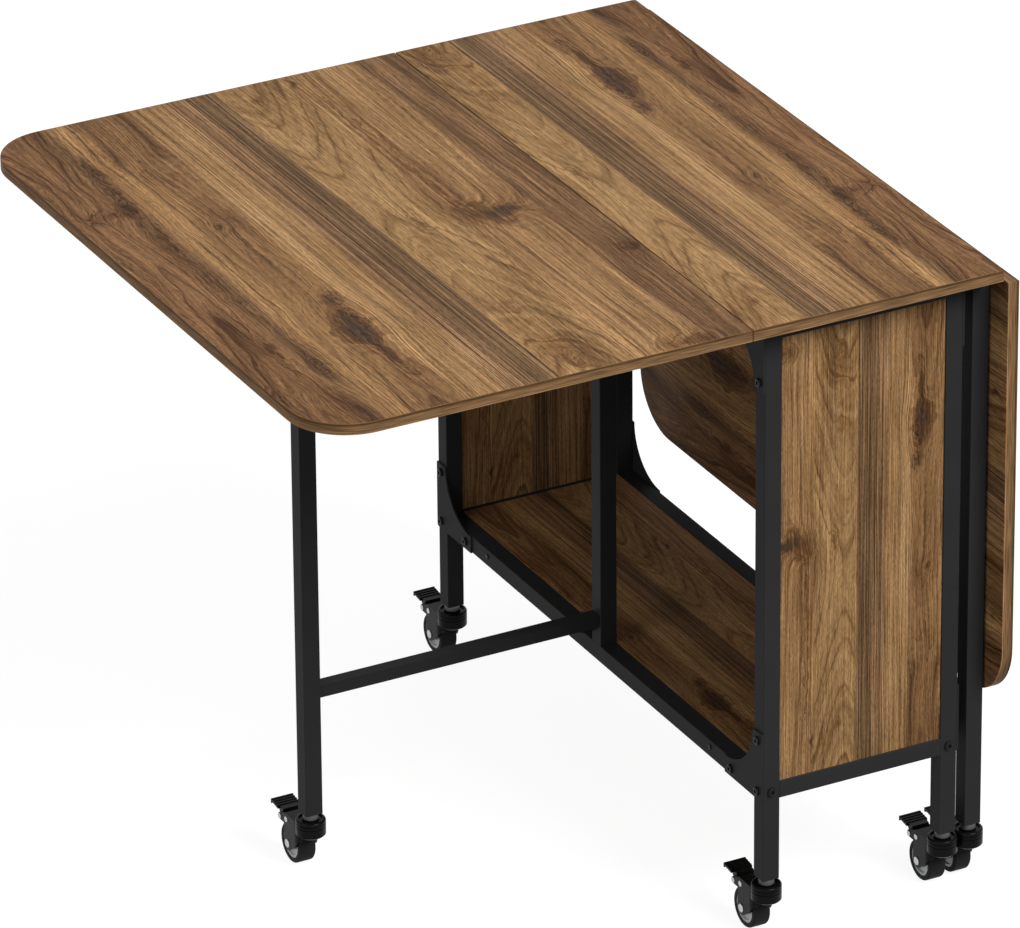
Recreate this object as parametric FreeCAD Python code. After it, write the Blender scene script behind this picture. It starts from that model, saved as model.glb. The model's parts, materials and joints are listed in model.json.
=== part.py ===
import FreeCAD, Part
import math
import os

# Folding dining table: a wheeled frame, a fixed centre top and two hinged leaves on swinging gates.
# Millimetres, +Z up, +X along the open table, +Y along the leaf hinges, left is -X and front is -Y.
# The right leaf hangs with its gate folded to the front, the left leaf stands raised on its open gate.

# Boards
table_height = 742.0
table_depth = 800.0
centre_width = 298.0
leaf_length = 500.0
leaf_corner_radius = 68.0
seam_gap = 1.0
board_thick = 13.5
board_edge_round = 1.0
shelf_thick = 12.0
panel_thick = 12.0
panel_recess = 2.0

# Square tube frame
tube = 20.0
tube_wall = 1.2
tube_corner = 0.8
side_overhang = 31.0
frame_depth = 740.0
low_rail_height = 169.5
post_height = 73.0

# Gusset plates and the bolts through them
gusset_size = 80.0
gusset_thick = 2.0
gusset_corner = 3.0
gusset_bolt_inset = 9.5
gusset_bolt_far = 70.0
rail_bolt_far = 67.0
bolt_radius = 3.0
bolt_reach = 9.0
bolt_head_radius = 4.9
bolt_head_height = 2.8
bolt_head_round = 1.2
bolt_socket_across = 4.0
bolt_socket_depth = 1.6

# Wood screws
screw_radius = 1.5
screw_head_radius = 3.2
screw_head_height = 1.4
screw_bite = 9.0
shelf_screw_inset = 116.0
shelf_screw_drop = 8.0
top_screw_inset = 170.0

# Leaf hinges
leaf_hinge_place = 250.0
leaf_hinge_length = 60.0
leaf_hinge_end_length = 15.0
leaf_hinge_plate_width = 26.0
leaf_hinge_plate_thick = 1.2
leaf_hinge_barrel = 3.0
leaf_hinge_pin = 1.5
leaf_hinge_axis_in = 0.8
leaf_hinge_tab_thick = 1.7
leaf_hinge_tab_lap = 2.5
leaf_hinge_plate_gap = 0.8
leaf_hinge_screw_pitch = 20.0
barrel_clearance = 0.5

# Gates
gate_arm_length = 341.5
gate_pivot_out = 8.5
gate_pivot_side = 15.0
gate_arm = 15.0
gate_arm_wall = 1.2
gate_arm_corner = 0.6
gate_arm_end_gap = 1.0
low_arm_height = 211.8
high_arm_drop = 41.0
gate_barrel = 5.0
gate_pin = 2.5
gate_pin_head = 3.6
gate_pin_head_height = 1.2
gate_knuckle_length = 8.5
bracket_knuckle_length = 12.0
bracket_thick = 2.5
bracket_width = 18.0
strap_length = 30.0
leg_cap_size = 16.0
leg_cap_height = 1.5
leg_cap_plug = 12.0
leg_cap_round = 0.6
leg_cap_clearance = 0.5

# Casters
wheel_radius = 23.0
tyre_width = 20.0
tyre_round = 2.2
hub_radius = 17.5
hub_width = 18.0
hub_boss_radius = 6.5
hub_web_inner = 8.5
hub_web_outer = 14.5
hub_web_depth = 2.0
axle_radius = 3.0
axle_head_radius = 4.8
axle_head_height = 1.2
caster_trail = 30.5
cheek_thick = 2.4
wheel_side_gap = 0.8
wheel_roof_gap = 1.6
head_radius = 16.6
head_bottom = 46.0
head_round = 2.5
head_groove_depth = 0.7
head_groove_width = 0.9
head_groove_drops = (5.0, 9.0)
head_chamfer = 1.5
head_dish_inner = 9.5
head_dish_outer = 13.2
head_dish_depth = 2.0
hood_top = 58.0
hood_roof_end = 36.0
axle_boss_radius = 8.0
cheek_toe_forward = 17.5
cheek_toe_rise = 2.0
cheek_toe_top_forward = 25.5
skirt_centre_back = 13.5
skirt_bottom = 37.0
stem_radius = 4.0
stem_flange_radius = 6.0
stem_flange_height = 2.7
stem_pocket_height = 10.0
stem_pocket_radius = 6.4
collar_radius = 8.5
collar_height = 7.0
stem_plug_height = 25.0
rivet_back = 32.5
rivet_height = 51.5
rivet_radius = 2.0
rivet_head_radius = 3.2
rivet_head_height = 1.0
pedal_pivot_back = 48.0
pedal_pivot_height = 48.6
pedal_ear_radius = 4.0
pedal_hub_radius = 4.0
pedal_reach = 70.0
pedal_tip_height = 59.0
pedal_width = 26.0
pedal_tread_length = 16.5
pedal_thick = 2.6
pedal_slope = 2.2
pedal_lip = 2.4
pedal_lip_thick = 1.6
pedal_rib_count = 4
pedal_rib_height = 0.8
pedal_rib_width = 1.2
brake_shoe_drop = 6.1
brake_shoe_radius = 2.0
brake_shoe_width = 8.0

# Clearances between pieces that turn on one another
turning_gap = 0.3
pin_clearance = 0.05
pedal_side_gap = 0.4
hub_side_gap = 0.4

# Places worked out from the sizes above
X_AXIS = FreeCAD.Vector(1, 0, 0)
Y_AXIS = FreeCAD.Vector(0, 1, 0)
Z_AXIS = FreeCAD.Vector(0, 0, 1)
underside = table_height - board_thick
half_depth = table_depth / 2
half_centre = centre_width / 2
leaf_edge = half_centre + seam_gap
frame_x = half_centre - side_overhang
frame_y = frame_depth / 2
post_x = frame_x - tube / 2
post_y = frame_y - tube / 2
inner_x = frame_x - tube
inner_y = frame_y - tube
low_rail_top = low_rail_height + tube
high_rail_bottom = underside - tube
leaf_axis_x = leaf_edge + leaf_hinge_axis_in
leaf_axis_z = underside - leaf_hinge_barrel - barrel_clearance
pivot_x = frame_x + gate_pivot_out
pivot_y = gate_pivot_side
open_leg_x = pivot_x + gate_arm_length
folded_leg_x = pivot_x + pivot_y
folded_leg_y = pivot_y + gate_arm_length
leg_top = underside - leg_cap_clearance - leg_cap_height
arm_heights = (low_arm_height + gate_arm / 2, underside - high_arm_drop - gate_arm / 2)
cheek_inner = tyre_width / 2 + wheel_side_gap
cheek_outer = cheek_inner + cheek_thick
pedal_half = cheek_inner - pedal_side_gap
head_top = post_height - collar_height - turning_gap
caster_places = {
    "front_left": (-post_x, -post_y),
    "front_right": (post_x, -post_y),
    "back_left": (-post_x, post_y),
    "back_right": (post_x, post_y),
    "left_gate": (-open_leg_x, 0.0),
    "right_gate": (folded_leg_x, -folded_leg_y),
}
hanging_face = leaf_axis_x + (table_height - leaf_axis_z)
raised_reach = leaf_edge + leaf_length
back_reach = post_y + pedal_reach
frame_shift = FreeCAD.Vector((raised_reach - hanging_face) / 2, (half_depth - back_reach) / 2, 0)


def point(x, y, z):
    return FreeCAD.Vector(x, y, z)


def box(low, high):
    """A block between two opposite corners."""
    size = FreeCAD.Vector(*high) - FreeCAD.Vector(*low)
    return Part.makeBox(size.x, size.y, size.z, FreeCAD.Vector(*low))


def span(first, second):
    """Two values in rising order, so that a mirrored piece is written once."""
    return min(first, second), max(first, second)


def rod(radius, start, direction, length):
    return Part.makeCylinder(radius, length, start, direction)


def cross_rod(radius, half_length, y, z):
    """A round bar along X, centred on X = 0."""
    return rod(radius, point(-half_length, y, z), X_AXIS, 2 * half_length)


def join(shapes):
    return shapes[0].fuse(shapes[1:]).removeSplitter()


def facing(shape, place, direction):
    """A piece drawn along +Z, turned to face a direction and set at a place."""
    turned = shape.copy()
    turned.Placement = FreeCAD.Placement(place, FreeCAD.Rotation(Z_AXIS, direction))
    return turned


def turned_about(shape, axis_place, axis, degrees):
    turned = shape.copy()
    turned.rotate(axis_place, axis, degrees)
    return turned


def moved(shape, x, y):
    return shape.translated(point(x, y, 0))


def prism_along_x(outline, x_from, x_to):
    """A solid with one outline in the YZ plane, from one X to another."""
    points = [point(x_from, y, z) for y, z in outline]
    face = Part.Face(Part.makePolygon(points + points[:1]))
    return face.extrude(point(x_to - x_from, 0, 0))


def rounded_square(size, radius):
    """A square face in the XY plane, centred, with rounded corners."""
    block = Part.makeBox(size, size, size, point(-size / 2, -size / 2, 0))
    uprights = [e for e in block.Edges if abs(e.tangentAt(e.FirstParameter).z) > 0.5]
    rounded = block.makeFillet(radius, uprights)
    return min(rounded.Faces, key=lambda face: face.CenterOfMass.z)


def square_bar(size, radius, start, direction, length):
    face = rounded_square(size, radius)
    bar = Part.Face(face.OuterWire).extrude(point(0, 0, length))
    return facing(bar, start, direction)


def bore_corner(radius, wall):
    """The corner radius inside a tube, kept above a quarter of the wall."""
    return max(radius - wall, wall / 4)


def square_tube(size, wall, radius, start, direction, length):
    outer = square_bar(size, radius, start, direction, length)
    inner = square_bar(size - 2 * wall, bore_corner(radius, wall), start, direction, length)
    return outer.cut(inner)


def frame_tube(start, direction, length):
    return square_tube(tube, tube_wall, tube_corner, start, direction, length)


def rounded_board(low, high):
    """A board with eased edges all round."""
    block = box(low, high)
    return block.makeFillet(board_edge_round, block.Edges)


def leaf_board():
    """The left leaf, raised: square at the hinge, with two large rounded corners at its outer end."""
    block = box((-raised_reach, -half_depth, underside), (-leaf_edge, half_depth, table_height))
    corners = []
    for edge in block.Edges:
        middle = edge.CenterOfMass
        upright = abs(edge.tangentAt(edge.FirstParameter).z) > 0.5
        if upright and middle.x < -leaf_edge - leaf_length / 2:
            corners.append(edge)
    rounded = block.makeFillet(leaf_corner_radius, corners)
    rims = []
    for edge in rounded.Edges:
        if abs(edge.BoundBox.ZLength) < board_edge_round:
            rims.append(edge)
    return rounded.makeFillet(board_edge_round, rims)


def socket_bolt():
    """A button-head bolt along +Z: its head stands above Z = 0 and its shank below."""
    head = rod(bolt_head_radius, point(0, 0, 0), Z_AXIS, bolt_head_height)
    rim = [e for e in head.Edges if abs(e.CenterOfMass.z - bolt_head_height) < turning_gap and e.Closed]
    head = head.makeFillet(bolt_head_round, rim)
    corner = bolt_socket_across / math.sqrt(3)
    sides = [math.radians(60 * k) for k in range(7)]
    floor = bolt_head_height - bolt_socket_depth
    hexagon = Part.makePolygon([point(corner * math.cos(a), corner * math.sin(a), floor) for a in sides])
    socket = Part.Face(hexagon).extrude(point(0, 0, bolt_head_height))
    return join([head, bolt_shank()]).cut(socket)


def bolt_shank():
    return rod(bolt_radius, point(0, 0, -bolt_reach), Z_AXIS, bolt_reach)


def wood_screw(grip):
    """A pan-head screw along +Z: its shank crosses the grip below Z = 0 and then bites the wood."""
    head = rod(screw_head_radius, point(0, 0, 0), Z_AXIS, screw_head_height)
    rim = [e for e in head.Edges if abs(e.CenterOfMass.z - screw_head_height) < turning_gap and e.Closed]
    return join([head.makeFillet(screw_head_height / 2, rim), screw_shank(grip)])


def screw_shank(grip):
    return rod(screw_radius, point(0, 0, -grip - screw_bite), Z_AXIS, grip + screw_bite)


def drilled(shape, shanks):
    """A piece with the holes that these shanks fill."""
    near = [s for s in shanks if s.BoundBox.intersect(shape.BoundBox)]
    if near:
        return shape.cut(near)
    return shape


def gusset_rows():
    """Each gusset: its side in X, its end in Y, the rail's outer line in Z and its growth from there."""
    for side in (-1, 1):
        for end in (-1, 1):
            yield side, end, low_rail_height, 1
            yield side, end, underside, -1


def gusset(side, end, base, grow):
    """A flat plate over a corner of the frame, with a quarter-round hollow between its two arms."""
    def at(inwards, along):
        return point(side * frame_x, end * (frame_y - inwards), base + grow * along)

    far = gusset_size
    bend = far - tube
    middle = far - bend * math.cos(math.pi / 4)
    edges = [
        Part.makeLine(at(0, 0), at(far, 0)),
        Part.makeLine(at(far, 0), at(far, tube)),
        Part.Arc(at(far, tube), at(middle, middle), at(tube, far)).toShape(),
        Part.makeLine(at(tube, far), at(0, far)),
        Part.makeLine(at(0, far), at(0, 0)),
    ]
    plate = Part.Face(Part.Wire(edges)).extrude(point(side * gusset_thick, 0, 0))
    ends = []
    for edge in plate.Edges:
        middle = edge.CenterOfMass
        across = abs(edge.tangentAt(edge.FirstParameter).x) > 0.5
        at_outer_corner = (middle - at(0, 0)).Length < gusset_size / 2
        if across and at_outer_corner:
            ends.append(edge)
    return plate.makeFillet(gusset_corner, ends)


def bolt_places():
    """Place and outward direction of every frame bolt."""
    for side, end, base, grow in gusset_rows():
        face = side * (frame_x + gusset_thick)
        near = gusset_bolt_inset
        for inwards, along in ((near, near), (near, gusset_bolt_far), (rail_bolt_far, near)):
            yield point(face, end * (frame_y - inwards), base + grow * along), X_AXIS * side
        post_bolt = point(side * post_x, end * frame_y, base + grow * tube / 2)
        yield post_bolt, Y_AXIS * end


def shelf_screw_places():
    for side in (-1, 1):
        for end in (-1, 1):
            y = end * (frame_y - shelf_screw_inset)
            place = point(side * frame_x, y, low_rail_top - shelf_screw_drop)
            yield place, X_AXIS * side


def top_screw_places():
    for side in (-1, 1):
        for end in (-1, 1):
            yield point(side * post_x, end * (frame_y - top_screw_inset), high_rail_bottom), -Z_AXIS


def hinge_screw_places(side, first, second):
    """Screws in a row along each hinge plate under a board, midway between the plate's two edges."""
    middle = side * (first + second) / 2
    for end in (-1, 1):
        for step in (-1, 0, 1):
            y = end * leaf_hinge_place + step * leaf_hinge_screw_pitch
            yield point(middle, y, underside - leaf_hinge_plate_thick), -Z_AXIS


def leaf_hinge_half(side, inner, knuckle_spans, bore):
    """One plate of a leaf hinge with its knuckles, under the fixed top or under the leaf."""
    reach = leaf_hinge_barrel + leaf_hinge_plate_gap
    if inner:
        away = -1
    else:
        away = 1
    axis = side * leaf_axis_x
    near = axis + side * away * reach
    far = near + side * away * leaf_hinge_plate_width
    plates = []
    for end in (-1, 1):
        middle = end * leaf_hinge_place
        half = leaf_hinge_length / 2
        low, high = span(near, far)
        bottom = underside - leaf_hinge_plate_thick
        pieces = [box((low, middle - half, bottom), (high, middle + half, underside))]
        tab_top = leaf_axis_z + leaf_hinge_barrel - turning_gap / 2
        low, high = span(axis, near + side * away * leaf_hinge_tab_lap)
        for start, stop in knuckle_spans:
            first = middle + start
            last = middle + stop
            pieces.append(box((low, first, tab_top - leaf_hinge_tab_thick), (high, last, tab_top)))
            pieces.append(rod(leaf_hinge_barrel, point(axis, first, leaf_axis_z), Y_AXIS, last - first))
        hole = rod(bore, point(axis, middle - half, leaf_axis_z), Y_AXIS, leaf_hinge_length)
        plates.append(join(pieces).cut(hole))
    return plates


def fixed_knuckles():
    half = leaf_hinge_length / 2
    return [(-half, -half + leaf_hinge_end_length), (half - leaf_hinge_end_length, half)]


def moving_knuckles():
    half = leaf_hinge_length / 2 - leaf_hinge_end_length - turning_gap
    return [(-half, half)]


def leaf_hinge_pins():
    pins = []
    for side in (-1, 1):
        for end in (-1, 1):
            start = point(side * leaf_axis_x, end * leaf_hinge_place - leaf_hinge_length / 2, leaf_axis_z)
            pins.append(rod(leaf_hinge_pin, start, Y_AXIS, leaf_hinge_length))
    return pins


def hinge_plate_reach(inner):
    """Distances of a hinge plate's two edges from the table's middle."""
    reach = leaf_hinge_barrel + leaf_hinge_plate_gap
    if inner:
        return leaf_axis_x - reach - leaf_hinge_plate_width, leaf_axis_x - reach
    return leaf_axis_x + reach, leaf_axis_x + reach + leaf_hinge_plate_width


def gate_knuckle_span(middle):
    """The heights of a gate hinge's moving knuckle, level with the lower face of its arm."""
    low = middle - gate_arm / 2
    return low, low + gate_knuckle_length


def left_gate_brackets():
    """Plates on the side of the left upright, each with the fixed knuckle below an arm's own knuckle."""
    brackets = []
    face = tube / 2
    for middle in arm_heights:
        knuckle_low, knuckle_high = gate_knuckle_span(middle)
        high = knuckle_low - turning_gap
        low = high - bracket_knuckle_length
        bracket = join([
            box((-frame_x, face, low), (-frame_x + bracket_width, face + bracket_thick, knuckle_high)),
            box((-pivot_x, face, low), (-frame_x, face + bracket_thick, high)),
            rod(gate_barrel, point(-pivot_x, pivot_y, low), Z_AXIS, bracket_knuckle_length),
        ])
        hole = rod(gate_pin, point(-pivot_x, pivot_y, low), Z_AXIS, bracket_knuckle_length)
        brackets.append(bracket.cut(hole))
    return brackets


def left_gate_pins():
    """Pins that stand in the brackets' knuckles, with their heads over the arms' knuckles."""
    pins = []
    for middle in arm_heights:
        knuckle_low, knuckle_high = gate_knuckle_span(middle)
        bottom = knuckle_low - turning_gap - bracket_knuckle_length
        top = knuckle_high + turning_gap
        shaft = rod(gate_pin, point(-pivot_x, pivot_y, bottom), Z_AXIS, top - bottom)
        cap = rod(gate_pin_head, point(-pivot_x, pivot_y, top), Z_AXIS, gate_pin_head_height)
        pins.append(join([shaft, cap]))
    return pins


def left_gate_arms():
    arms = []
    start = -open_leg_x + tube / 2
    stop = -frame_x - gate_arm_end_gap
    for middle in arm_heights:
        place = point(start, 0, middle)
        arms.append(square_tube(gate_arm, gate_arm_wall, gate_arm_corner, place, X_AXIS, stop - start))
    return arms


def left_gate_knuckles():
    """Straps on the arms' back faces, each with the moving knuckle of a gate hinge."""
    knuckles = []
    arm_face = gate_arm / 2
    barrel_edge = pivot_y - gate_barrel
    for middle in arm_heights:
        low, high = gate_knuckle_span(middle)
        strap = box((-pivot_x - strap_length, arm_face, low), (-pivot_x, barrel_edge, high))
        web = box((-pivot_x - gate_barrel, barrel_edge, low), (-pivot_x, pivot_y, high))
        barrel = rod(gate_barrel, point(-pivot_x, pivot_y, low), Z_AXIS, gate_knuckle_length)
        hole = rod(gate_pin + pin_clearance, point(-pivot_x, pivot_y, low), Z_AXIS, gate_knuckle_length)
        knuckles.append(join([strap, web, barrel]).cut(hole))
    return knuckles


def left_gate_leg():
    return frame_tube(point(-open_leg_x, 0, post_height), Z_AXIS, leg_top - post_height)


def plug_size():
    return tube - 2 * tube_wall


def plug_corner():
    return bore_corner(tube_corner, tube_wall)


def left_gate_cap():
    """A push-in plug for the top of the leg, with a raised pad that slides under the leaf."""
    plug_place = point(-open_leg_x, 0, leg_top - leg_cap_plug)
    plug = square_bar(plug_size(), plug_corner(), plug_place, Z_AXIS, leg_cap_plug)
    pad = square_bar(leg_cap_size, tube_corner, point(-open_leg_x, 0, leg_top), Z_AXIS, leg_cap_height)
    rim = [e for e in pad.Edges if e.BoundBox.ZMin > leg_top + leg_cap_height / 2]
    return join([plug, pad.makeFillet(leg_cap_round, rim)])


def to_right(shape):
    """The right-hand twin of a left-hand piece, half a turn round the table's middle."""
    return turned_about(shape, point(0, 0, 0), Z_AXIS, 180)


def folded_right(shape):
    """The right gate's piece, swung against the frame."""
    return turned_about(to_right(shape), point(pivot_x, -pivot_y, 0), Z_AXIS, -90)


def hanging_right(shape):
    """The right leaf's piece, hanging from its hinges."""
    return turned_about(to_right(shape), point(leaf_axis_x, 0, leaf_axis_z), Y_AXIS, 90)


def caster_stem():
    """The stem with its collar and its lower flange, and the square plug that holds it in a tube."""
    flange_bottom = head_bottom + stem_pocket_height - turning_gap - stem_flange_height
    plug_top = post_height + stem_plug_height
    stem = join([
        rod(stem_radius, point(0, 0, flange_bottom), Z_AXIS, plug_top - flange_bottom),
        rod(stem_flange_radius, point(0, 0, flange_bottom), Z_AXIS, stem_flange_height),
        rod(collar_radius, point(0, 0, post_height - collar_height), Z_AXIS, collar_height),
    ])
    plug = square_bar(plug_size(), plug_corner(), point(0, 0, post_height), Z_AXIS, stem_plug_height)
    return [stem, plug.cut(rod(stem_radius, point(0, 0, post_height), Z_AXIS, stem_plug_height))]


def caster_head():
    """The round swivel head with its eased top rim, its dished top, two grooves and a chamfer below."""
    head = rod(head_radius, point(0, 0, head_bottom), Z_AXIS, head_top - head_bottom)
    rim = [e for e in head.Edges if e.BoundBox.ZMin > head_top - turning_gap]
    head = head.makeFillet(head_round, rim)
    foot = [e for e in head.Edges if e.BoundBox.ZMax < head_bottom + turning_gap]
    head = head.makeChamfer(head_chamfer, foot)
    dish_floor = point(0, 0, head_top - head_dish_depth)
    land = rod(head_dish_inner, dish_floor, Z_AXIS, head_dish_depth)
    head = head.cut(rod(head_dish_outer, dish_floor, Z_AXIS, head_dish_depth).cut(land))
    for drop in head_groove_drops:
        base = point(0, 0, head_top - drop)
        ring = rod(2 * head_radius, base, Z_AXIS, head_groove_width)
        core = rod(head_radius - head_groove_depth, base, Z_AXIS, head_groove_width)
        head = head.cut(ring.cut(core))
    return head


def caster_hood():
    """The notched cheeks, the front skirt and the roof over the wheel, before the wheel's room is cut out."""
    axle_y = caster_trail
    axle_z = wheel_radius
    ear_bottom = pedal_pivot_height - pedal_ear_radius
    skirt_front = skirt_centre_back - cheek_outer
    outline = [
        (skirt_front, skirt_bottom),
        (skirt_front, hood_top),
        (rivet_back + rivet_head_radius, hood_top),
        (pedal_pivot_back, pedal_pivot_height + pedal_ear_radius),
        (pedal_pivot_back, ear_bottom),
        (axle_y + axle_boss_radius, ear_bottom),
        (axle_y + axle_boss_radius, axle_z),
        (axle_y, axle_z - axle_boss_radius),
        (axle_y - cheek_toe_forward, axle_z + cheek_toe_rise),
        (axle_y - cheek_toe_top_forward, skirt_bottom),
    ]
    plan = join([
        rod(cheek_outer, point(0, skirt_centre_back, 0), Z_AXIS, head_top),
        box((-cheek_outer, skirt_centre_back, 0), (cheek_outer, pedal_reach, head_top)),
    ])
    return join([
        prism_along_x(outline, -cheek_outer, cheek_outer).common(plan),
        cross_rod(pedal_ear_radius, cheek_outer, pedal_pivot_back, pedal_pivot_height),
        cross_rod(axle_boss_radius, cheek_outer, axle_y, axle_z),
    ])


def wheel_room():
    """The space between the cheeks: round over the wheel, open below it and open behind for the pedal."""
    room = wheel_radius + wheel_roof_gap
    back = pedal_reach
    round_part = cross_rod(room, cheek_inner, caster_trail, wheel_radius)
    below = box((-cheek_inner, caster_trail - room, 0), (cheek_inner, back, wheel_radius))
    behind = box((-cheek_inner, hood_roof_end, 0), (cheek_inner, back, head_top))
    return [round_part, below, behind]


def caster_fork():
    body = join([caster_head(), caster_hood()]).cut(wheel_room())
    bore = rod(stem_radius + pin_clearance, point(0, 0, head_bottom), Z_AXIS, head_top - head_bottom)
    pocket = rod(stem_pocket_radius, point(0, 0, head_bottom), Z_AXIS, stem_pocket_height)
    holes = [
        cross_rod(axle_radius, cheek_outer, caster_trail, wheel_radius),
        cross_rod(rivet_radius, cheek_outer, rivet_back, rivet_height),
        cross_rod(rivet_radius, cheek_outer, pedal_pivot_back, pedal_pivot_height),
    ]
    return body.cut([bore, pocket] + holes)


def headed_pin(radius, rim_radius, head_height, y, z):
    """A pin along X with a low round head on each cheek."""
    pieces = [cross_rod(radius, cheek_outer, y, z)]
    for side in (-1, 1):
        start = point(side * cheek_outer, y, z)
        head = rod(rim_radius, start, X_AXIS * side, head_height)
        outer = side * (cheek_outer + head_height)
        rim = [e for e in head.Edges if abs(e.CenterOfMass.x - outer) < turning_gap and e.Closed]
        pieces.append(head.makeFillet(head_height / 2, rim))
    return join(pieces)


def caster_pins():
    return [
        headed_pin(axle_radius, axle_head_radius, axle_head_height, caster_trail, wheel_radius),
        headed_pin(rivet_radius, rivet_head_radius, rivet_head_height, rivet_back, rivet_height),
        headed_pin(rivet_radius, rivet_head_radius, rivet_head_height, pedal_pivot_back, pedal_pivot_height),
    ]


def caster_tyre():
    half = tyre_width / 2
    outer = cross_rod(wheel_radius, half, caster_trail, wheel_radius)
    outer = outer.makeFillet(tyre_round, [e for e in outer.Edges if e.Closed])
    return outer.cut(cross_rod(hub_radius, half, caster_trail, wheel_radius))


def caster_hub():
    """The wheel's core, with a shallow web on each side and a boss that centres it between the cheeks."""
    half = hub_width / 2
    boss_half = cheek_inner - hub_side_gap
    hub = join([
        cross_rod(hub_radius, half, caster_trail, wheel_radius),
        cross_rod(hub_boss_radius, boss_half, caster_trail, wheel_radius),
    ])
    for side in (-1, 1):
        floor = point(side * (half - hub_web_depth), caster_trail, wheel_radius)
        web = rod(hub_web_outer, floor, X_AXIS * side, hub_web_depth)
        core = rod(hub_web_inner, floor, X_AXIS * side, hub_web_depth)
        hub = hub.cut(web.cut(core))
    return hub.cut(cross_rod(axle_radius + pin_clearance, boss_half, caster_trail, wheel_radius))


def caster_pedal():
    """The brake pedal: a ribbed tread on a neck, with a brake shoe below its pivot."""
    tread_start = pedal_reach - pedal_tread_length
    root_height = pedal_tip_height - pedal_slope
    tread = [
        (tread_start, root_height - pedal_thick),
        (tread_start, root_height),
        (pedal_reach, pedal_tip_height),
        (pedal_reach, pedal_tip_height - pedal_thick - pedal_lip),
        (pedal_reach - pedal_lip_thick, pedal_tip_height - pedal_thick - pedal_lip),
        (pedal_reach - pedal_lip_thick, pedal_tip_height - pedal_thick),
    ]
    neck = [
        (pedal_pivot_back - pedal_hub_radius, pedal_pivot_height),
        (pedal_pivot_back - pedal_hub_radius / 2, root_height),
        (tread_start + pedal_thick, root_height),
        (tread_start + pedal_thick, root_height - pedal_thick),
        (pedal_pivot_back + pedal_hub_radius, pedal_pivot_height),
    ]
    shoe_z = pedal_pivot_height - brake_shoe_drop
    shank = [
        (pedal_pivot_back - brake_shoe_radius, pedal_pivot_height),
        (pedal_pivot_back + brake_shoe_radius, pedal_pivot_height),
        (pedal_pivot_back + brake_shoe_radius, shoe_z),
        (pedal_pivot_back - brake_shoe_radius, shoe_z),
    ]
    pieces = [
        prism_along_x(tread, -pedal_width / 2, pedal_width / 2),
        prism_along_x(neck, -pedal_half, pedal_half),
        prism_along_x(shank, -brake_shoe_width / 2, brake_shoe_width / 2),
        cross_rod(pedal_hub_radius, pedal_half, pedal_pivot_back, pedal_pivot_height),
        cross_rod(brake_shoe_radius, brake_shoe_width / 2, pedal_pivot_back, shoe_z),
    ]
    pitch = pedal_tread_length / pedal_rib_count
    for k in range(pedal_rib_count):
        y = tread_start + pitch * (k + 0.5)
        z = root_height + pedal_slope * (k + 0.5) / pedal_rib_count
        low = (-pedal_width / 2, y - pedal_rib_width / 2, z - pedal_thick / 2)
        high = (pedal_width / 2, y + pedal_rib_width / 2, z + pedal_rib_height)
        pieces.append(box(low, high))
    bore = cross_rod(rivet_radius + pin_clearance, pedal_half, pedal_pivot_back, pedal_pivot_height)
    return join(pieces).cut(bore)


def placed_fasteners(template, places):
    return [facing(template, place, direction) for place, direction in places]


def export(name, solids):
    """One file for one named piece or group, in the table's frame."""
    shape = Part.makeCompound([s.translated(frame_shift) for s in solids])
    if not shape.isValid():
        print("not valid:", name)
    shape.exportStep("parts/" + name + ".step")
    print(name, len(shape.Solids), round(shape.Volume / 1000, 2), "cm3")


def export_frame(bolt_shanks, shelf_shanks, top_shanks):
    """Posts, uprights, rails and gusset plates, each with the holes that its bolts fill."""
    shanks = bolt_shanks + shelf_shanks + top_shanks
    for side, name in ((-1, "left_posts"), (1, "right_posts")):
        posts = []
        for end in (-1, 1):
            foot = point(side * post_x, end * post_y, post_height)
            posts.append(drilled(frame_tube(foot, Z_AXIS, underside - post_height), shanks))
        export(name, posts)
    uprights = []
    long_rails = []
    end_rails = []
    for side in (-1, 1):
        start = point(side * post_x, 0, low_rail_top)
        uprights.append(frame_tube(start, Z_AXIS, high_rail_bottom - low_rail_top))
        for base in (low_rail_height, high_rail_bottom):
            middle = base + tube / 2
            long_rail = frame_tube(point(side * post_x, -inner_y, middle), Y_AXIS, 2 * inner_y)
            end_rail = frame_tube(point(-inner_x, side * post_y, middle), X_AXIS, 2 * inner_x)
            long_rails.append(drilled(long_rail, shanks))
            end_rails.append(drilled(end_rail, shanks))
    export("middle_uprights", uprights)
    export("long_rails", long_rails)
    export("end_rails", end_rails)
    export("gusset_plates", [drilled(gusset(*row), bolt_shanks) for row in gusset_rows()])


def export_boards(shelf_shanks, top_shanks, plate_shanks):
    """Centre top, shelf and end panels."""
    top = rounded_board((-half_centre, -half_depth, underside), (half_centre, half_depth, table_height))
    export("centre_top", [drilled(top, top_shanks + plate_shanks)])
    shelf = box((-inner_x, -inner_y, low_rail_top - shelf_thick), (inner_x, inner_y, low_rail_top))
    export("shelf", [drilled(shelf, shelf_shanks)])
    for end, name in ((-1, "front_end_panel"), (1, "back_end_panel")):
        outer = end * (frame_y - panel_recess)
        low, high = span(outer, outer - end * panel_thick)
        export(name, [box((-inner_x, low, low_rail_top), (inner_x, high, high_rail_bottom))])


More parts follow.
